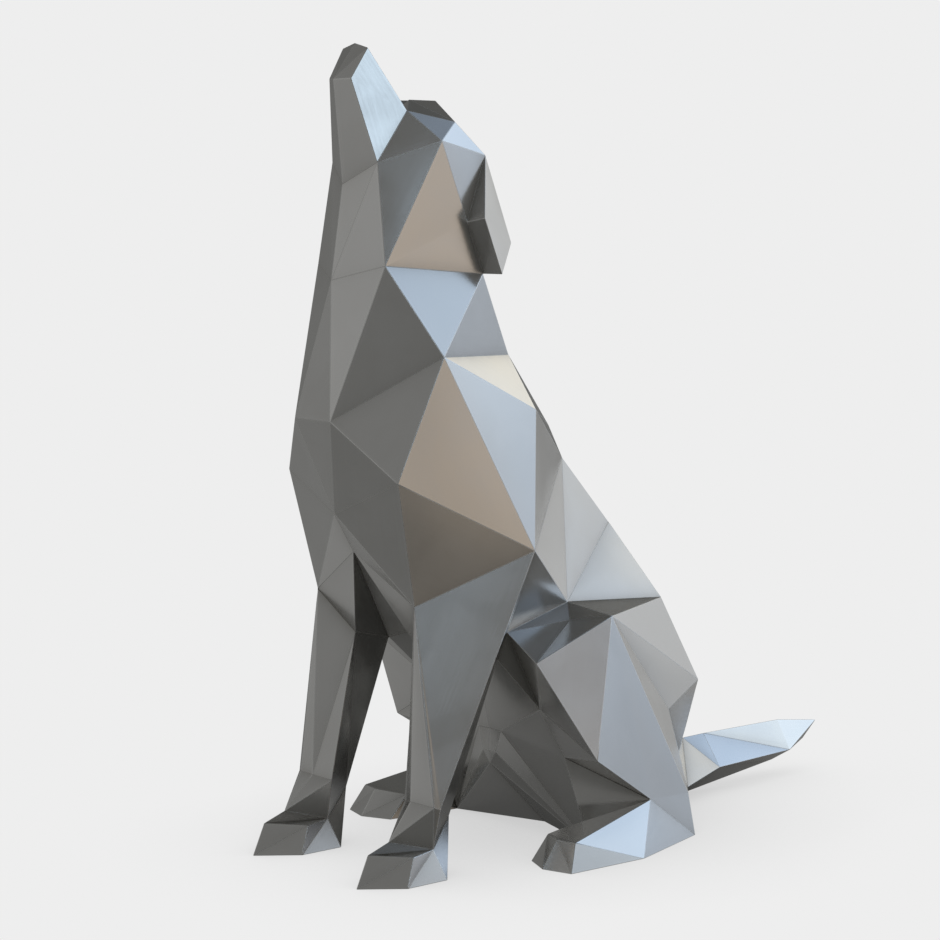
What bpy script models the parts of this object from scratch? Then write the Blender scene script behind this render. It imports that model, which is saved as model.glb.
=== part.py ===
"""Seated dog with its muzzle raised: a hollow sculpture of flat steel plates welded edge to edge.

Metres, +Z up. The dog looks along -Y, and the ground is Z = 0. Its left half is modelled and
mirrored across the X = 0 plane.
"""
import bpy
import bmesh

HEIGHT = 1.05               # ground to the two upper corners of the nose
BODY_LENGTH = 0.685         # front claws to the root of the tail
WIDTH = 0.470               # across the hind paws, where the dog is widest

FORE_PAW_OUT = 0.110        # midline to the ridge along the top of a front paw
FORE_PAW_WIDTH = 0.080
FORE_PAW_LENGTH = 0.116     # along the sole
HIND_PAW_BACK = 0.243       # front claws to the hind claws
HIND_PAW_WIDTH = 0.084      # at the toes
HIND_PAW_LENGTH = 0.279     # claws to heel
PAW_HEIGHT = 0.0525         # ground to the knuckles
TAIL_LENGTH = 0.284         # root of the tail's upper ridge to its tip
TAIL_WIDTH = 0.063          # where the tail is broadest
TAIL_HEIGHT = 0.082         # ground to the tail's upper ridge

STEEL_COLOUR = (0.62, 0.62, 0.60, 1.0)
STEEL_ROUGHNESS = 0.3
NODE = "dog_sculpture"

# A corner is (out from the midline, back from the front claws, up from the ground). On the body
# these are shares of WIDTH, BODY_LENGTH and HEIGHT, and on the paws and the tail they are metres.
# A name that ends in _mid is on the midline.


def head_corners():
    """Raised muzzle, forehead, folded ear and throat."""
    return {
        "nose_top_mid": (0, 0.132, 1.006),
        "nose_top": (0.054, 0.133, 1.000),
        "nose_low_mid": (0, 0.081, 0.962),
        "nose_low": (0.047, 0.097, 0.963),
        "bridge_mid": (0, 0.199, 0.922),
        "stop_mid": (0, 0.215, 0.920),
        "forehead": (0.049, 0.233, 0.939),
        "stop": (0.109, 0.195, 0.925),
        "crown_mid": (0, 0.325, 0.939),
        "temple": (0.145, 0.290, 0.912),
        "brow": (0.170, 0.244, 0.889),
        "jaw": (0.098, 0.130, 0.863),
        "jaw_mid": (0, 0.101, 0.837),
        "cheek": (0.147, 0.121, 0.740),
        "throat_mid": (0, 0.074, 0.722),
        "ear_tip": (0.147, 0.363, 0.872),
        "ear_root": (0.161, 0.310, 0.791),
        "ear_fold": (0.223, 0.317, 0.796),
        "ear_low": (0.223, 0.360, 0.727),
        "ear_back": (0.156, 0.423, 0.764),
        "occiput_mid": (0, 0.395, 0.860),
        "nape": (0.161, 0.349, 0.727),
        "nape_mid": (0, 0.426, 0.730),
    }


def trunk_corners():
    """Neck, chest, ribs, back, flank and belly."""
    return {
        "neck_side": (0.246, 0.205, 0.631),
        "neck_back": (0.134, 0.429, 0.625),
        "neck_back_mid": (0, 0.494, 0.620),
        "chest": (0.078, 0.028, 0.555),
        "chest_mid": (0, 0.028, 0.555),
        "shoulder": (0.241, 0.097, 0.483),
        "sternum_mid": (0, 0.078, 0.438),
        "crotch_mid": (0, 0.123, 0.389),
        "withers": (0.223, 0.446, 0.558),
        "withers_mid": (0, 0.616, 0.525),
        "back_mid": (0, 0.653, 0.481),
        "loin_mid": (0, 0.782, 0.389),
        "ribs": (0.290, 0.403, 0.387),
        "waist": (0.223, 0.529, 0.311),
        "flank": (0.268, 0.507, 0.292),
        "belly_mid": (0, 0.411, 0.290),
    }


def foreleg_corners():
    """Straight foreleg with a sharp rear ridge, down to the ankle."""
    return {
        "elbow": (0.214, 0.150, 0.330),
        "armpit": (0.132, 0.198, 0.276),
        "leg_back_top": (0.241, 0.362, 0.285),
        "leg_back": (0.239, 0.339, 0.252),
    }


def fore_paw_corners():
    """Front paw and ankle, in metres, from shares of the paw's own width, length and height."""
    shares = {
        "claw": (0, 0, 0),
        "toe": (0, 0.16, 0.78),
        "knuckle": (0, 0.45, 1),
        "ankle": (0.07, 0.72, 1.92),
        "ankle_out": (0.39, 0.87, 1.80),
        "ankle_out_back": (0.42, 0.95, 1.74),
        "ankle_in": (-0.42, 0.91, 1.74),
        "ankle_in_front": (-0.14, 0.78, 1.86),
        "heel": (-0.03, 1.33, 1.34),
    }
    for side, sign in (("out", 1), ("in", -1)):
        shares["toe_" + side] = (0.42 * sign, 0.57, 0.70)
        shares["knuckle_" + side] = (0.34 * sign, 0.89, 0.75)
        shares["sole_" + side] = (0.50 * sign, 0.44, 0)
        shares["sole_back_" + side] = (0.50 * sign, 1, 0)
    return {name: (FORE_PAW_OUT + out * FORE_PAW_WIDTH, back * FORE_PAW_LENGTH, up * PAW_HEIGHT)
            for name, (out, back, up) in shares.items()}


def hind_corners():
    """Rump, thigh, shin and the long hind paw that lies on the ground."""
    return {
        "rump_mid": (0, 0.894, 0.295),
        "tail_base_mid": (0, 0.993, 0.175),
        "rump": (0.156, 0.828, 0.293),
        "seat_back": (0.156, 0.937, 0.174),
        "seat_side": (0.156, 0.883, 0.081),
        "thigh_back": (0.268, 0.776, 0.155),
        "thigh_low": (0.384, 0.754, 0.055),
        "hip": (0.357, 0.561, 0.298),
        "knee": (0.357, 0.365, 0.253),
        "shin": (0.440, 0.471, 0.127),
        "hock": (0.413, 0.630, 0.061),
        "groin_top": (0.223, 0.458, 0.178),
        "groin_low": (0.268, 0.494, 0.117),
        "seat_rear": (0.201, 0.871, 0),
        "seat_front": (0.290, 0.546, 0),
        "seat_front_mid": (0, 0.609, 0),
        "fork_top_mid": (0, 0.461, 0.139),
        "fork_top": (0.049, 0.463, 0.138),
        "fork_low_mid": (0, 0.460, 0.109),
        "fork_low": (0.027, 0.461, 0.109),
        "fork_mid": (0, 0.463, 0.093),
    }


def hind_paw_corners():
    """Long hind paw, in metres, from shares of its own width, length and height."""
    bulge = 0.55            # widest part of the paw, out from its ridge
    ridge = WIDTH / 2 - bulge * HIND_PAW_WIDTH
    shares = {
        "hind_claw": (0, 0, 0),
        "hind_toe": (0, 0.09, 0.68),
        "hind_toe_out": (0.35, 0.11, 0.68),
        "hind_sole_out": (0.50, 0.044, 0),
        "hind_side": (bulge, 0.495, 0),
        "hind_heel": (0, 1, 0),
        "hind_sole_in": (-0.50, 0.066, 0),
        "hind_toe_in": (-0.50, 0.17, 0.60),
        "hind_top_in": (-0.50, 0.25, 0.66),
    }
    return {name: (ridge + out * HIND_PAW_WIDTH, HIND_PAW_BACK + back * HIND_PAW_LENGTH,
                   up * PAW_HEIGHT)
            for name, (out, back, up) in shares.items()}


def tail_corners():
    """Tail, in metres: a ridge on top, a sharp edge along each side and a narrow underside."""
    shares = {
        "tail_root_mid": (0, 0, 0.99),
        "tail_ridge_mid": (0, 0.15, 1),
        "tail_hump_mid": (0, 0.70, 0.99),
        "tail_tip_mid": (0, 1, 0.85),
        "tail_end_mid": (0, 0.90, 0.55),
        "tail_keel_mid": (0, 0.655, 0.26),
        "tail_floor_mid": (0, 0.04, 0),
        "tail_edge_root": (1, -0.18, 0.33),
        "tail_edge": (0.5, 0.16, 0.44),
        "tail_edge_end": (0.3, 0.73, 0.45),
    }
    return {name: (out * TAIL_WIDTH, BODY_LENGTH + back * TAIL_LENGTH, up * TAIL_HEIGHT)
            for name, (out, back, up) in shares.items()}


# Plates meet at a hub corner and end on the rim corners in order, so each pair of neighbours on
# the rim makes one flat plate with the hub.
PLATES = (
    ("nose_low_mid", "nose_top_mid nose_top nose_low"),
    ("nose_top_mid", "nose_top bridge_mid"),
    ("stop", "stop_mid bridge_mid nose_top nose_low jaw brow temple"),
    ("forehead", "stop_mid stop temple crown_mid stop_mid"),
    ("crown_mid", "temple occiput_mid"),
    ("jaw_mid", "nose_low_mid nose_low jaw throat_mid"),
    ("cheek", "throat_mid chest neck_side nape ear_root brow jaw throat_mid"),
    ("ear_tip", "brow ear_root ear_fold ear_back occiput_mid temple brow"),
    ("ear_root", "ear_fold ear_low nape"),
    ("ear_back", "ear_fold ear_low nape nape_mid occiput_mid"),
    ("neck_side", "nape neck_back withers ribs shoulder chest"),
    ("neck_back", "nape nape_mid neck_back_mid withers_mid withers"),
    ("chest_mid", "throat_mid chest sternum_mid"),
    ("shoulder", "ribs elbow sternum_mid chest"),
    ("back_mid", "withers_mid withers ribs waist loin_mid"),
    ("rump", "seat_back tail_base_mid rump_mid loin_mid waist hip seat_back"),
    ("hip", "seat_back thigh_back thigh_low hock shin knee flank waist"),
    ("leg_back_top", "ribs waist flank knee groin_top leg_back ankle_out_back ribs"),
    ("elbow", "sternum_mid crotch_mid armpit ankle_in_front ankle ankle_out ankle_out_back ribs"),
    ("leg_back", "ankle_out_back heel armpit crotch_mid belly_mid"),
    ("armpit", "heel ankle_in ankle_in_front"),
    ("knuckle", "ankle ankle_out knuckle_out toe knuckle_in ankle_in ankle_in_front ankle"),
    ("knuckle_out", "ankle_out ankle_out_back heel sole_back_out sole_out toe_out toe"),
    ("knuckle_in", "ankle_in heel sole_back_in sole_in toe_in toe"),
    ("claw", "sole_out toe_out toe toe_in sole_in"),
    ("heel", "sole_back_out sole_back_in"),
    ("groin_top", "knee shin groin_low fork_top belly_mid leg_back"),
    ("groin_low", "shin hock seat_front fork_top"),
    ("fork_top", "seat_front fork_low fork_top_mid belly_mid"),
    ("fork_low_mid", "fork_mid fork_low fork_top_mid"),
    ("seat_front", "fork_low fork_mid seat_front_mid"),
    ("hock", "thigh_low hind_heel hind_side hind_toe_out hind_top_in seat_front"),
    ("hind_toe_out", "hind_side hind_sole_out hind_toe hind_toe_in hind_top_in"),
    ("hind_claw", "hind_sole_out hind_toe hind_toe_in hind_sole_in"),
    ("hind_toe_in", "hind_sole_in seat_front hind_top_in"),
    ("seat_side", "thigh_back seat_back tail_root_mid tail_edge_root thigh_low thigh_back"),
    ("tail_base_mid", "seat_back tail_root_mid"),
    ("seat_rear", "tail_floor_mid tail_edge_root thigh_low hind_heel"),
    ("tail_edge", "tail_root_mid tail_ridge_mid tail_edge_end tail_keel_mid tail_floor_mid"
                  " tail_edge_root tail_root_mid"),
    ("tail_edge_end", "tail_ridge_mid tail_hump_mid tail_tip_mid tail_end_mid tail_keel_mid"),
)

# Flat soles on the ground: the front paw, and the seat with the hind paw.
SOLES = (
    "claw sole_out sole_back_out sole_back_in sole_in",
    "hind_claw hind_sole_out hind_side hind_heel seat_rear tail_floor_mid seat_front_mid"
    " seat_front hind_sole_in",
)


def all_corners():
    """Every corner of the left half in metres, with the footprint's middle at the origin."""
    corners = {}
    for group in (head_corners(), trunk_corners(), foreleg_corners(), hind_corners()):
        for name, (out, back, up) in group.items():
            corners[name] = (out * WIDTH, back * BODY_LENGTH, up * HEIGHT)
    for group in (fore_paw_corners(), hind_paw_corners(), tail_corners()):
        corners.update(group)
    depths = [corner[1] for corner in corners.values()]
    middle = (min(depths) + max(depths)) / 2
    return {name: (out, back - middle, up) for name, (out, back, up) in corners.items()}


def half_skin():
    """Mesh of the left half, open along the midline."""
    bm = bmesh.new()
    corner = {name: bm.verts.new(place) for name, place in all_corners().items()}
    for hub, rim in PLATES:
        rim = rim.split()
        for first, second in zip(rim, rim[1:]):
            bm.faces.new((corner[hub], corner[first], corner[second]))
    for sole in SOLES:
        bm.faces.new([corner[name] for name in sole.split()])
    bmesh.ops.recalc_face_normals(bm, faces=bm.faces[:])
    mesh = bpy.data.meshes.new(NODE)
    bm.to_mesh(mesh)
    bm.free()
    return mesh


def steel():
    """Bare brushed steel."""
    material = bpy.data.materials.new("brushed_steel")
    material.use_nodes = True
    shader = material.node_tree.nodes["Principled BSDF"]
    shader.inputs["Base Color"].default_value = STEEL_COLOUR
    shader.inputs["Metallic"].default_value = 1.0
    shader.inputs["Roughness"].default_value = STEEL_ROUGHNESS
    return material


def make_dog(collection):
    """The whole skin as one closed piece."""
    dog = bpy.data.objects.new(NODE, half_skin())
    dog.data.materials.append(steel())
    mirror = dog.modifiers.new("both_sides", "MIRROR")
    mirror.use_axis = (True, False, False)
    mirror.use_clip = True
    mirror.merge_threshold = 0.0001
    collection.objects.link(dog)
    return dog


def main():
    for old in list(bpy.data.objects):
        bpy.data.objects.remove(old, do_unlink=True)
    collection = bpy.data.collections.new("geometric_dog_sculpture")
    bpy.context.scene.collection.children.link(collection)
    make_dog(collection)


main()
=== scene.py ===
"""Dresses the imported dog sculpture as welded, satin ground steel plates, on a plain studio floor."""

import math
import random
from collections import namedtuple

import bmesh
import bpy
import numpy as np
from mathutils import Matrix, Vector


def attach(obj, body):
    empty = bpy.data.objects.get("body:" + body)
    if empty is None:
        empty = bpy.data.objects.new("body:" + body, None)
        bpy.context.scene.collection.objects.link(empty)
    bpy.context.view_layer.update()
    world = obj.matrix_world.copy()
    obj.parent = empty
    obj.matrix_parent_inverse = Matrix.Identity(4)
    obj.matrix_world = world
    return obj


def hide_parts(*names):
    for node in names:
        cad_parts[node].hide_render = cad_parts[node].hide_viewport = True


bl_info = {
    "name": "Steel plate dog",
    "version": (1, 0, 0),
    "blender": (4, 5, 0),
    "location": "3D View > Sidebar > Steel Dog",
    "description": "Dresses a faceted dog sculpture as welded, satin ground steel plates",
    "category": "Object",
}

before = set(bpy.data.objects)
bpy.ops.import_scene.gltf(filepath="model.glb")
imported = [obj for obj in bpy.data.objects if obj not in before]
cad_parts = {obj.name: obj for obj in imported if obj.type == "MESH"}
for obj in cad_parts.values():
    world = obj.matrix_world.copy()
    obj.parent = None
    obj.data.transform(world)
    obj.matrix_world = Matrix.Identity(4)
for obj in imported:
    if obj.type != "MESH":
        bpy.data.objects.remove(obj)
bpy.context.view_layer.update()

NODE = "dog_sculpture"
BODY = "root"

IMAGE_SIZE = 940                    # pixels along each side of the picture
CAMERA_PLACE = (2.730, -2.5345, 0.906)
CAMERA_TURN = 49.5                  # degrees from straight ahead of the dog, towards its left
CAMERA_DIP = 6.46                   # degrees below level
FOCAL_PIXELS = 2715
SENSOR_WIDTH = 36.0                 # millimetres

SEED = 7
MERGE = 0.0001                      # metres, joins the node's loose triangles
FLAT_FOLD = math.radians(0.2)       # folds below this are one flat sheet
SOFT_FOLD = math.radians(3.5)       # folds below this are a soft bend of one sheet, with no weld
LONG_EDGE = 0.003                   # metres, edges above this are cut for the crown of a plate
FAR_FROM_EDGES = 1.0                # metres, on plates that aren't triangles and get no bands
GRAIN_SHIFT = 3.0                   # metres, the most by which a plate's grain is shifted
CROWN_RANGE = (-0.35, 1.0)          # sunk to raised, as shares of the full crown
CROWN_PEAK = 27                     # 1 over the product of a triangle's three shares at its middle

NOISE_MIDDLE = (0.30, 0.70)         # most values of a noise lie between these
PATCH_EDGES = (0.35, 0.65)          # noise where a patch begins, and where it is full
SPOT_EDGES = (0.60, 0.75)           # noise where a spot begins, and where it is full
BROAD_GRAIN = 0.12                  # scale of the broad grinding lines over that of the fine ones
FADE_AT_WIDTH = 0.37                # strength of a band that is left at its own width from the edge
FOLD_GAIN = 1.3                     # strength of a band for each radian of fold, at most 1
BUMP_DEPTH = 0.0002                 # metres

SHADE_SAMPLES = 8
SHADOW_LEFT = 0.65                  # brightness of the floor in the deepest contact shadow
MIRRORED_LEFT = 0.35                # light from below that is left in the deepest mirrored shade
MIRRORED_EDGES = (0.10, 0.90)       # openness where that shade is deepest, and where it ends

Edge = namedtuple("Edge", "start end fold normal")


# Sizes and colours

class DogSkinSettings(bpy.types.PropertyGroup):
    """Sizes and finish of the welded skin."""
    seam: bpy.props.FloatProperty(
        name="Seam", description="Width of the ground weld on each side of an edge",
        default=0.0007, min=0.0003, max=0.004, unit="LENGTH", precision=4)
    seam_steps: bpy.props.IntProperty(
        name="Seam Steps", description="Facets across the rounding of a seam", default=2, min=1, max=4)
    crown: bpy.props.FloatProperty(
        name="Crown", description="Rise of a plate's middle, as a share of the root of its area",
        default=0.006, min=0.0, max=0.03)
    cuts: bpy.props.IntProperty(
        name="Cuts", description="Cuts along each edge of a plate, for its crown", default=7, min=1, max=12)
    steel: bpy.props.FloatVectorProperty(
        name="Steel", description="Colour of the ground steel", subtype="COLOR", size=4,
        default=(0.640, 0.635, 0.620, 1.0), min=0.0, max=1.0)
    steel_light: bpy.props.FloatVectorProperty(
        name="Light Steel", description="Colour of the lighter patches of the steel", subtype="COLOR",
        size=4, default=(0.720, 0.718, 0.710, 1.0), min=0.0, max=1.0)
    # Painted highlight: lighter steel mixed along convex ridges, partly freshly ground steel and partly a
    # stand-in for the highlight there.
    bright: bpy.props.FloatVectorProperty(
        name="Ground Ridge And Highlight", description="Colour of the freshly ground ridges", subtype="COLOR",
        size=4, default=(0.880, 0.880, 0.870, 1.0), min=0.0, max=1.0)
    # Painted shade: darker steel mixed into the inner corners, partly weld heat tint and partly a stand-in
    # for the shade that falls there.
    corner_tint_and_shade: bpy.props.FloatVectorProperty(
        name="Corner Tint And Shade", description="Colour of the steel in the inner corners", subtype="COLOR",
        size=4, default=(0.300, 0.285, 0.260, 1.0), min=0.0, max=1.0)
    roughness: bpy.props.FloatProperty(
        name="Roughness", description="Roughness of the ground plates", default=0.18, min=0.0, max=1.0,
        subtype="FACTOR")


class DogStageSettings(bpy.types.PropertyGroup):
    """Floor, backdrop and light."""
    floor_size: bpy.props.FloatProperty(
        name="Floor Size", description="Side of the square floor", default=40.0, min=2.0, unit="LENGTH")
    contact: bpy.props.FloatProperty(
        name="Contact Shadow", description="Reach of the soft shadow under the object",
        default=0.30, min=0.0, unit="LENGTH")
    shade_reach: bpy.props.FloatProperty(
        name="Mirrored Shade", description="Reach of the shade under the object that the steel mirrors",
        default=0.40, min=0.0, unit="LENGTH")
    backdrop: bpy.props.FloatVectorProperty(
        name="Backdrop", description="Colour behind the object", subtype="COLOR", size=4,
        default=(0.855, 0.855, 0.855, 1.0), min=0.0, max=1.0)
    light: bpy.props.FloatProperty(
        name="Light", description="Strength of the whole studio light", default=1.0, min=0.0, max=10.0)


# Soft lights of the studio: name, turn from +X towards +Y and height in degrees, tightness of the
# spot, and colour times strength. Pale windows and walls stand on the dog's left, and a dim grey
# room is all round it.
STUDIO_LIGHTS = (
    ("sky_window_left", 62, 24, 12, (0.6, 0.8, 1.1)),
    ("bright_window_left", 52, 18, 60, (0.6, 0.6, 0.5)),
    ("bright_window_behind", 93, 23, 60, (0.9, 0.8, 0.6)),
    ("small_window_left", 2, 17, 120, (1.2, 1.5, 1.8)),
    ("warm_wall_left", 34, -4, 30, (0.5, 0.4, 0.3)),
    ("pale_wall_left", 64, -2, 30, (0.2, 0.2, 0.2)),
    ("pale_wall_behind", 98, 2, 20, (0.5, 0.5, 0.5)),
    ("grey_wall_ahead_left", 320, 20, 5, (0.1, 0.1, 0.1)),
    ("grey_wall_ahead", 275, 5, 6, (0.2, 0.2, 0.2)),
    ("window_right", 235, 25, 6, (0.2, 0.2, 0.2)),
    ("grey_wall_right", 180, -5, 5, (0.1, 0.1, 0.1)),
    ("ground_right", 200, -50, 10, (0.2, 0.2, 0.2)),
    ("ground_behind", 105, -30, 10, (0.1, 0.1, 0.1)),
)
STUDIO_FILL = (0.09, 0.09, 0.085)


# Node helpers

def new_tree(tree):
    """Empties a node tree and returns a function that adds a node with its settings."""
    tree.nodes.clear()

    def add(kind, links=(), values=(), **settings):
        node = tree.nodes.new(kind)
        for key, value in settings.items():
            setattr(node, key, value)
        for socket, value in dict(values).items():
            node.inputs[socket].default_value = value
        for socket, source in dict(links).items():
            tree.links.new(source, node.inputs[socket])
        return node
    return add


def group_tree(name, inputs, outputs):
    """New shader node group with typed sockets and their defaults."""
    tree = bpy.data.node_groups.new(name, "ShaderNodeTree")
    for socket, kind, default in inputs:
        made = tree.interface.new_socket(name=socket, in_out="INPUT", socket_type=kind)
        if default is not None:
            made.default_value = default
    for socket, kind in outputs:
        tree.interface.new_socket(name=socket, in_out="OUTPUT", socket_type=kind)
    return tree


FLOAT, VECTOR = "NodeSocketFloat", "NodeSocketVector"


def math_node(add, operation, first, second=None, **settings):
    """Math node on a socket and a socket or number."""
    node = add("ShaderNodeMath", operation=operation, **settings)
    for slot, source in ((0, first), (1, second)):
        if source is None:
            continue
        if isinstance(source, (int, float)):
            node.inputs[slot].default_value = source
        else:
            node.id_data.links.new(source, node.inputs[slot])
    return node.outputs[0]


def spread(add, source, low, high, least=0.0, **settings):
    """Stretches the part of a value from low to high over least to 1."""
    return add("ShaderNodeMapRange", {0: source}, {1: low, 2: high, 3: least}, **settings).outputs[0]


def brushed_grain():
    """Fine grinding lines along the plate, on the plate's own flat coordinates in metres."""
    tree = group_tree("brushed_grain", (
        ("Grain", VECTOR, None), ("Line", FLOAT, 2600.0), ("Stretch", FLOAT, 0.03)),
        (("Lines", FLOAT), ("Height", FLOAT)))
    add = new_tree(tree)
    given = add("NodeGroupInput")
    parts = add("ShaderNodeSeparateXYZ", {0: given.outputs["Grain"]})
    along = math_node(add, "MULTIPLY", parts.outputs["X"], given.outputs["Stretch"])
    place = add("ShaderNodeCombineXYZ", {"X": along, "Y": parts.outputs["Y"], "Z": parts.outputs["Z"]})
    fine = add("ShaderNodeTexNoise", {"Vector": place.outputs[0], "Scale": given.outputs["Line"]},
               {"Detail": 2.0, "Roughness": 0.6})
    broad_scale = math_node(add, "MULTIPLY", given.outputs["Line"], BROAD_GRAIN)
    broad = add("ShaderNodeTexNoise", {"Vector": place.outputs[0], "Scale": broad_scale},
                {"Detail": 3.0, "Roughness": 0.55})
    both = add("ShaderNodeMix", {2: broad.outputs["Fac"], 3: fine.outputs["Fac"]}, {0: 0.5},
               data_type="FLOAT")
    lines = spread(add, both.outputs[0], *NOISE_MIDDLE)
    add("NodeGroupOutput", {"Lines": lines, "Height": both.outputs[0]})
    return tree


def steel_patches():
    """Broad uneven patches left by hand grinding, and fine spots, on object coordinates."""
    tree = group_tree("steel_patches", (("Size", FLOAT, 14.0), ("Spots", FLOAT, 260.0)),
                      (("Patches", FLOAT), ("Spots", FLOAT)))
    add = new_tree(tree)
    given = add("NodeGroupInput")
    place = add("ShaderNodeTexCoord")
    cloud = add("ShaderNodeTexNoise", {"Vector": place.outputs["Object"], "Scale": given.outputs["Size"]},
                {"Detail": 4.0, "Roughness": 0.55, "Distortion": 0.6})
    patches = spread(add, cloud.outputs["Fac"], *PATCH_EDGES, interpolation_type="SMOOTHSTEP")
    spot = add("ShaderNodeTexNoise", {"Vector": place.outputs["Object"], "Scale": given.outputs["Spots"]},
               {"Detail": 2.0})
    spots = spread(add, spot.outputs["Fac"], *SPOT_EDGES)
    add("NodeGroupOutput", {"Patches": patches, "Spots": spots})
    return tree


def fold_band():
    """Masks beside the three edges of a plate: painted highlight with freshly ground steel along ridges,
    painted shade with weld tint along inner corners.
    """
    tree = group_tree("fold_band", (
        ("Distance", VECTOR, None), ("Fold", VECTOR, None), ("Ridge Width", FLOAT, 0.0015),
        ("Corner Width", FLOAT, 0.010), ("Breakup", FLOAT, 0.5)),
        (("Ridge", FLOAT), ("Corner", FLOAT)))
    add = new_tree(tree)
    given = add("NodeGroupInput")
    distance = add("ShaderNodeSeparateXYZ", {0: given.outputs["Distance"]})
    fold = add("ShaderNodeSeparateXYZ", {0: given.outputs["Fold"]})
    found = {"Ridge": None, "Corner": None}
    for axis in "XYZ":
        for mask, sign in (("Ridge", 1), ("Corner", -1)):
            width = given.outputs[mask + " Width"]
            worn = math_node(add, "DIVIDE", distance.outputs[axis], width)
            fading = math_node(add, "POWER", FADE_AT_WIDTH, worn)
            side = math_node(add, "MULTIPLY", fold.outputs[axis], FOLD_GAIN * sign, use_clamp=True)
            band = math_node(add, "MULTIPLY", fading, side)
            found[mask] = band if found[mask] is None else math_node(add, "MAXIMUM", found[mask], band)
    place = add("ShaderNodeTexCoord")
    noise = add("ShaderNodeTexNoise", {"Vector": place.outputs["Object"]}, {"Scale": 55.0, "Detail": 4.0})
    uneven = spread(add, noise.outputs["Fac"], *NOISE_MIDDLE)
    share = add("ShaderNodeMix", {0: given.outputs["Breakup"], 3: uneven}, {2: 1.0}, data_type="FLOAT")
    outputs = {mask: math_node(add, "MULTIPLY", band, share.outputs[0], use_clamp=True)
               for mask, band in found.items()}
    add("NodeGroupOutput", outputs)
    return tree


def place_group(add, tree, links=(), values=()):
    """Node group in a material, with its own values."""
    node = add("ShaderNodeGroup", node_tree=tree)
    for socket, value in dict(values).items():
        node.inputs[socket].default_value = value
    for socket, source in dict(links).items():
        node.id_data.links.new(source, node.inputs[socket])
    return node


def steel_material(name, skin, groups, look):
    """Satin ground steel, with a painted highlight along ridges and painted shade in inner corners. look
    holds how strong each effect is on this part of the skin.
    """
    material = bpy.data.materials.new(name)
    material.use_nodes = True
    add = new_tree(material.node_tree)
    grain_map = add("ShaderNodeUVMap", uv_map="grain")
    distance = add("ShaderNodeAttribute", attribute_name="edge_distance")
    fold = add("ShaderNodeAttribute", attribute_name="fold")
    tone = add("ShaderNodeAttribute", attribute_name="plate_tone")
    grain = place_group(add, groups["brushed_grain"], {"Grain": grain_map.outputs[0]},
                        {"Line": look["line"]})
    patches = place_group(add, groups["steel_patches"])
    band = place_group(add, groups["fold_band"],
                       {"Distance": distance.outputs["Vector"], "Fold": fold.outputs["Vector"]},
                       {"Ridge Width": look["ridge_width"], "Corner Width": look["corner_width"],
                        "Breakup": look["breakup"]})

    light_share = math_node(add, "MULTIPLY", patches.outputs["Patches"], look["patches"])
    light_share = math_node(add, "ADD", light_share, math_node(
        add, "MULTIPLY", tone.outputs["Fac"], look["tone"]))
    light_share = math_node(add, "ADD", light_share, math_node(
        add, "MULTIPLY", grain.outputs["Lines"], look["lines"]), use_clamp=True)
    colour = add("ShaderNodeMix", {0: light_share}, {6: skin.steel, 7: skin.steel_light}, data_type="RGBA")
    # Painted shade: the inner-corner band darkens the colour, part weld tint and part shade.
    corner = math_node(add, "MULTIPLY", band.outputs["Corner"], look["corner"])
    colour = add("ShaderNodeMix", {0: corner, 6: colour.outputs[2]}, {7: skin.corner_tint_and_shade}, data_type="RGBA")
    # Painted highlight: the ridge band lightens the colour, part freshly ground steel and part highlight.
    ridge = math_node(add, "MULTIPLY", band.outputs["Ridge"], look["ridge"])
    colour = add("ShaderNodeMix", {0: ridge, 6: colour.outputs[2]}, {7: skin.bright}, data_type="RGBA")

    rough = math_node(add, "MULTIPLY", grain.outputs["Lines"], look["rough_lines"])
    rough = math_node(add, "ADD", rough, math_node(
        add, "MULTIPLY", patches.outputs["Patches"], look["rough_patches"]))
    rough = math_node(add, "ADD", rough, math_node(
        add, "MULTIPLY", band.outputs["Corner"], look["rough_corner"]))
    rough = math_node(add, "ADD", rough, skin.roughness + look["rough"])

    height = math_node(add, "ADD", grain.outputs["Height"], math_node(
        add, "MULTIPLY", patches.outputs["Spots"], look["spots"]))
    bump = add("ShaderNodeBump", {"Height": height}, {"Strength": look["bump"], "Distance": BUMP_DEPTH})
    shader = add("ShaderNodeBsdfPrincipled",
                 {"Base Color": colour.outputs[2], "Roughness": rough, "Normal": bump.outputs[0]},
                 {"Metallic": 1.0})
    add("ShaderNodeOutputMaterial", {"Surface": shader.outputs[0]})
    return material


# How strong each effect is on a plate and on a weld seam. line is the scale of the grain, and the
# widths are in metres.
# corner sets the painted shade in inner corners, part weld tint, and ridge sets the painted highlight on
# ridges, part freshly ground steel.
PLATE_LOOK = {
    "line": 2600.0, "ridge_width": 0.0012, "corner_width": 0.009, "breakup": 0.20,
    "patches": 0.30, "tone": 0.35, "lines": 0.30, "corner": 0.55, "ridge": 0.40,
    "rough_lines": 0.06, "rough_patches": 0.04, "rough_corner": 0.08, "rough": -0.03,
    "spots": -0.5, "bump": 0.10,
}
SEAM_LOOK = dict(PLATE_LOOK, line=1500.0, breakup=0.25, ridge=0.6, corner=0.85, rough=0.18,
                 bump=0.25)


# Mesh of the skin

def plates_of(bm):
    """Corners of each flat plate, and how much each of its edges folds: above 0 on a ridge."""
    rows = []
    for face in bm.faces:
        folds = []
        for loop in face.loops:
            fold = loop.edge.calc_face_angle_signed(0.0)
            folds.append(fold if abs(fold) > SOFT_FOLD else 0.0)
        rows.append(([v.co.copy() for v in face.verts], folds))
    return rows


def line_distance(point, start, end):
    """Distance of a point from the line through start and end."""
    along = (end - start).normalized()
    return (point - start - along * (point - start).dot(along)).length


def nearest_edge(point, starts, steps, lengths):
    """Index of the segment that is nearest to a point."""
    offset = np.array(point) - starts
    share = np.clip((offset * steps).sum(1) / lengths, 0, 1)
    gap = offset - steps * share[:, None]
    return int((gap * gap).sum(1).argmin())


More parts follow.
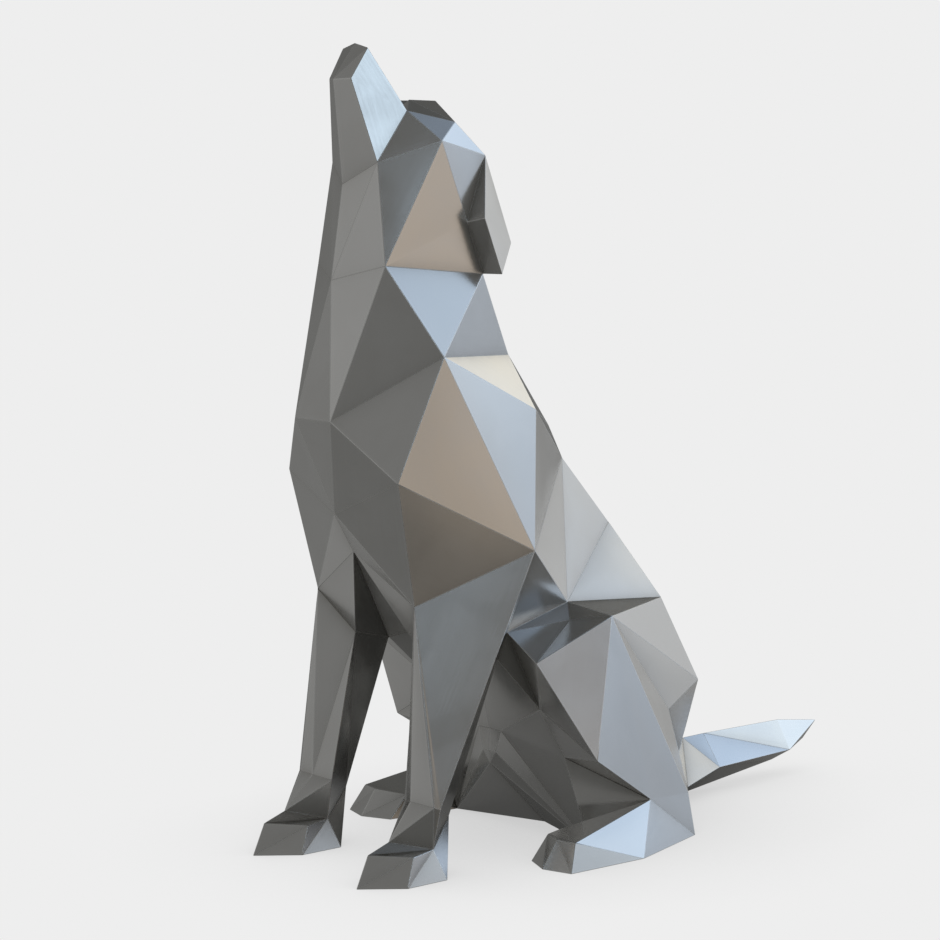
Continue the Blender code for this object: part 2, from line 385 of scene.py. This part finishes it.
def mark_faces(bm, seams, rows, edges):
    """Writes grain coordinates, edge distances, folds, tone and crown shares on every face."""
    grain = bm.loops.layers.uv["grain"]
    distance = bm.loops.layers.float_vector["edge_distance"]
    share = bm.loops.layers.float_vector["crown_share"]
    fold = bm.faces.layers.float_vector["fold"]
    tone = bm.faces.layers.float["plate_tone"]
    plate = bm.faces.layers.int["plate"]
    starts = np.array([edge.start for edge in edges])
    steps = np.array([edge.end - edge.start for edge in edges])
    lengths = (steps * steps).sum(1)
    draw = random.Random(SEED)
    tones = [draw.random() for _ in rows]
    shifts = [(draw.uniform(0, GRAIN_SHIFT), draw.uniform(0, GRAIN_SHIFT)) for _ in rows]
    for face in bm.faces:
        index = face[plate]
        longest = max(face.edges, key=lambda e: e.calc_length())
        along = (longest.verts[1].co - longest.verts[0].co).normalized()
        across = face.normal.cross(along)
        corners, folds = rows[index]
        for loop in face.loops:
            co = loop.vert.co
            loop[grain].uv = (co.dot(along) + shifts[index][0], co.dot(across) + shifts[index][1])
        face[tone] = tones[index]
        if face in seams:
            near = edges[nearest_edge(face.calc_center_median(), starts, steps, lengths)]
            welded = abs(near.fold) > SOFT_FOLD or face.normal.angle(near.normal) > SOFT_FOLD
            face[fold] = Vector((near.fold if welded else 0.0,) * 3)
            face.material_index = 1 if welded else 0
        elif len(corners) == 3:
            face[fold] = Vector(folds)
            for place, loop in enumerate(face.loops):
                loop[distance] = Vector([
                    line_distance(loop.vert.co, corners[k], corners[(k + 1) % 3]) for k in range(3)])
                loop[share] = Vector([float(place == k) for k in range(3)])
        else:
            for loop in face.loops:
                loop[distance] = Vector((FAR_FROM_EDGES,) * 3)


def crown_plates(bm, skin, rows):
    """Lifts or sinks the middle of each plate a little, as hammered and welded sheet does."""
    share = bm.loops.layers.float_vector["crown_share"]
    plate = bm.faces.layers.int["plate"]
    draw = random.Random(SEED + 1)
    rises = []
    for corners, _ in rows:
        rise = draw.uniform(*CROWN_RANGE)
        if len(corners) == 3:
            area = (corners[1] - corners[0]).cross(corners[2] - corners[0]).length / 2
            rises.append(rise * skin.crown * math.sqrt(area))
        else:
            rises.append(0.0)
    moves = {}
    for face in bm.faces:
        for loop in face.loops:
            a, b, c = loop[share]
            if a * b * c > 0:
                moves[loop.vert] = face.normal * (CROWN_PEAK * a * b * c * rises[face[plate]])
    for vert, move in moves.items():
        vert.co += move


def dog_mesh(skin):
    """Closed skin with rounded seams and slightly crowned plates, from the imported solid."""
    bm = bmesh.new()
    bm.loops.layers.uv.new("grain")
    bm.loops.layers.float_vector.new("edge_distance")
    bm.loops.layers.float_vector.new("crown_share")
    bm.faces.layers.float_vector.new("fold")
    bm.faces.layers.float.new("plate_tone")
    bm.faces.layers.int.new("plate")
    bm.from_mesh(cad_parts[NODE].data)
    bmesh.ops.remove_doubles(bm, verts=bm.verts[:], dist=MERGE)
    bmesh.ops.dissolve_limit(bm, angle_limit=FLAT_FOLD, verts=bm.verts[:], edges=bm.edges[:])
    bm.normal_update()
    rows = plates_of(bm)
    edges = [Edge(e.verts[0].co.copy(), e.verts[1].co.copy(), e.calc_face_angle_signed(0.0),
                  (e.link_faces[0].normal + e.link_faces[1].normal).normalized()) for e in bm.edges]
    plate = bm.faces.layers.int["plate"]
    for index, face in enumerate(bm.faces):
        face[plate] = index
    made = bmesh.ops.bevel(bm, geom=bm.edges[:], offset=skin.seam, offset_type="OFFSET",
                           segments=skin.seam_steps, profile=0.5, affect="EDGES", material=-1,
                           clamp_overlap=False, loop_slide=True)
    seams = set(made["faces"])
    bm.normal_update()
    mark_faces(bm, seams, rows, edges)
    cut = [e for e in bm.edges if e.calc_length() > LONG_EDGE]
    bmesh.ops.subdivide_edges(bm, edges=cut, cuts=skin.cuts, use_grid_fill=True)
    bm.normal_update()
    crown_plates(bm, skin, rows)
    for face in bm.faces:
        face.smooth = True
    for edge in bm.edges:
        edge.smooth = len({f.material_index for f in edge.link_faces}) < 2
    bm.loops.layers.float_vector.remove(bm.loops.layers.float_vector["crown_share"])
    mesh = bpy.data.meshes.new("steel_dog")
    bm.to_mesh(mesh)
    bm.free()
    return mesh


class DOG_OT_make_skin(bpy.types.Operator):
    """Make the welded steel skin of the dog"""
    bl_idname = "dog.make_skin"
    bl_label = "Make Steel Skin"
    bl_options = {"REGISTER", "UNDO"}

    def execute(self, context):
        skin = context.scene.dog_skin
        groups = {"brushed_grain": brushed_grain(), "steel_patches": steel_patches(),
                  "fold_band": fold_band()}
        dog = bpy.data.objects.new("steel_dog", dog_mesh(skin))
        context.scene.collection.objects.link(dog)
        dog.data.materials.append(steel_material("satin_steel_plate", skin, groups, PLATE_LOOK))
        dog.data.materials.append(steel_material("ground_weld_seam", skin, groups, SEAM_LOOK))
        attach(dog, BODY)
        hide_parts(NODE)
        return {"FINISHED"}


# Stage

def studio_world(stage):
    """Soft lights all round, and a plain backdrop for the camera."""
    world = bpy.data.worlds.new("studio")
    world.use_nodes = True
    add = new_tree(world.node_tree)
    place = add("ShaderNodeTexCoord")
    total = None
    for name, turn, height, tightness, colour in STUDIO_LIGHTS:
        turn, height = math.radians(turn), math.radians(height)
        aim = (math.cos(turn) * math.cos(height), math.sin(turn) * math.cos(height), math.sin(height))
        facing = add("ShaderNodeVectorMath", {0: place.outputs["Generated"]}, {1: aim},
                     operation="DOT_PRODUCT", label=name)
        away = math_node(add, "SUBTRACT", facing.outputs["Value"], 1.0)
        glow = math_node(add, "EXPONENT", math_node(add, "MULTIPLY", away, tightness))
        spot = add("ShaderNodeVectorMath", {"Scale": glow}, {0: colour}, operation="SCALE")
        total = spot.outputs[0] if total is None else add(
            "ShaderNodeVectorMath", {0: total, 1: spot.outputs[0]}, operation="ADD").outputs[0]
    lit = add("ShaderNodeVectorMath", {0: total}, {1: STUDIO_FILL}, operation="ADD")
    studio = add("ShaderNodeBackground", {"Color": lit.outputs[0]}, {"Strength": stage.light})
    plain = add("ShaderNodeBackground", (), {"Color": stage.backdrop, "Strength": 1.0})
    path = add("ShaderNodeLightPath")
    seen = add("ShaderNodeMixShader", {0: path.outputs["Is Camera Ray"], 1: studio.outputs[0],
                                       2: plain.outputs[0]})
    add("ShaderNodeOutputWorld", {"Surface": seen.outputs[0]})
    return world


def floor_material(stage):
    """Pale floor as bright as the backdrop, with a soft shadow where the object touches it.

    The steel mirrors the studio's ground lights through it, less of them where the object shades it."""
    material = bpy.data.materials.new("pale_floor")
    material.use_nodes = True
    add = new_tree(material.node_tree)
    shade = add("ShaderNodeAmbientOcclusion", (), {"Distance": stage.contact},
                samples=SHADE_SAMPLES)
    open_sky = spread(add, shade.outputs["AO"], 0.0, 1.0, SHADOW_LEFT)
    tint = add("ShaderNodeVectorMath", {"Scale": open_sky}, {0: stage.backdrop[:3]},
               operation="SCALE")
    seen = add("ShaderNodeEmission", {"Color": tint.outputs[0]}, {"Strength": 1.0})
    dark = add("ShaderNodeAmbientOcclusion", (), {"Distance": stage.shade_reach},
               samples=SHADE_SAMPLES)
    let_through = spread(add, dark.outputs["AO"], *MIRRORED_EDGES, MIRRORED_LEFT)
    mirrored = add("ShaderNodeBsdfTransparent", {"Color": let_through})
    path = add("ShaderNodeLightPath")
    either = add("ShaderNodeMixShader", {0: path.outputs["Is Camera Ray"], 1: mirrored.outputs[0],
                                         2: seen.outputs[0]})
    add("ShaderNodeOutputMaterial", {"Surface": either.outputs[0]})
    return material


class DOG_OT_make_stage(bpy.types.Operator):
    """Make the pale floor, the soft studio light and the camera"""
    bl_idname = "dog.make_stage"
    bl_label = "Make Stage"
    bl_options = {"REGISTER", "UNDO"}

    def execute(self, context):
        stage = context.scene.dog_stage
        bm = bmesh.new()
        bmesh.ops.create_grid(bm, x_segments=1, y_segments=1, size=stage.floor_size / 2)
        mesh = bpy.data.meshes.new("floor")
        bm.to_mesh(mesh)
        bm.free()
        floor = bpy.data.objects.new("floor", mesh)
        floor.data.materials.append(floor_material(stage))
        floor.visible_shadow = False
        context.scene.collection.objects.link(floor)
        context.scene.world = studio_world(stage)
        context.scene.view_settings.view_transform = "Standard"

        view = bpy.data.cameras.new("camera")
        view.sensor_width = SENSOR_WIDTH
        view.lens = FOCAL_PIXELS / IMAGE_SIZE * view.sensor_width
        camera = bpy.data.objects.new("camera", view)
        camera.location = CAMERA_PLACE
        camera.rotation_euler = (math.radians(90 - CAMERA_DIP), 0, math.radians(CAMERA_TURN))
        context.scene.collection.objects.link(camera)
        context.scene.camera = camera
        return {"FINISHED"}


class DOG_PT_panel(bpy.types.Panel):
    """Sizes, finish and stage of the steel dog"""
    bl_label = "Steel Dog"
    bl_idname = "DOG_PT_panel"
    bl_space_type = "VIEW_3D"
    bl_region_type = "UI"
    bl_category = "Steel Dog"

    def draw(self, context):
        layout = self.layout
        for settings, operator in ((context.scene.dog_skin, DOG_OT_make_skin),
                                   (context.scene.dog_stage, DOG_OT_make_stage)):
            box = layout.box()
            for name in settings.bl_rna.properties.keys():
                if name not in ("rna_type", "name"):
                    box.prop(settings, name)
            box.operator(operator.bl_idname)


CLASSES = (DogSkinSettings, DogStageSettings, DOG_OT_make_skin, DOG_OT_make_stage, DOG_PT_panel)


def register():
    for cls in CLASSES:
        bpy.utils.register_class(cls)
    bpy.types.Scene.dog_skin = bpy.props.PointerProperty(type=DogSkinSettings)
    bpy.types.Scene.dog_stage = bpy.props.PointerProperty(type=DogStageSettings)


def unregister():
    del bpy.types.Scene.dog_stage
    del bpy.types.Scene.dog_skin
    for cls in reversed(CLASSES):
        bpy.utils.unregister_class(cls)


def main():
    register()
    bpy.ops.dog.make_skin()
    bpy.ops.dog.make_stage()


if __name__ == "__main__":
    main()
